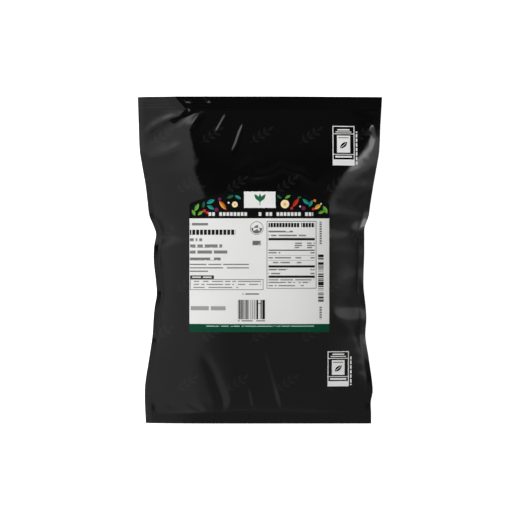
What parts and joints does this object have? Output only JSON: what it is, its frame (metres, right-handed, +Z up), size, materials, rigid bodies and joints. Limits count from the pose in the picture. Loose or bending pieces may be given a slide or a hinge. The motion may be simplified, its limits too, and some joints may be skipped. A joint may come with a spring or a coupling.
{
  "type": "filled pouch",
  "caption": "Flat heat-sealed film pouch filled with dried berries, lying on its back with an arched paper label on the front.",
  "frame": {"origin": "middle of the footprint box, on the surface that the pouch lies on", "axes": "+X right across the label, +Y towards the top seal, +Z up out of the front web"},
  "size_m": [0.2286, 0.3048, 0.0595],
  "materials": {
    "film": "gloss",
    "label": "satin",
    "berries": "matt, wrinkled"
  },
  "bodies": {
    "root": {"back_panel": "film", "contents": "berries", "front_panel": "film", "label": "label"}
  },
  "joints": []
}
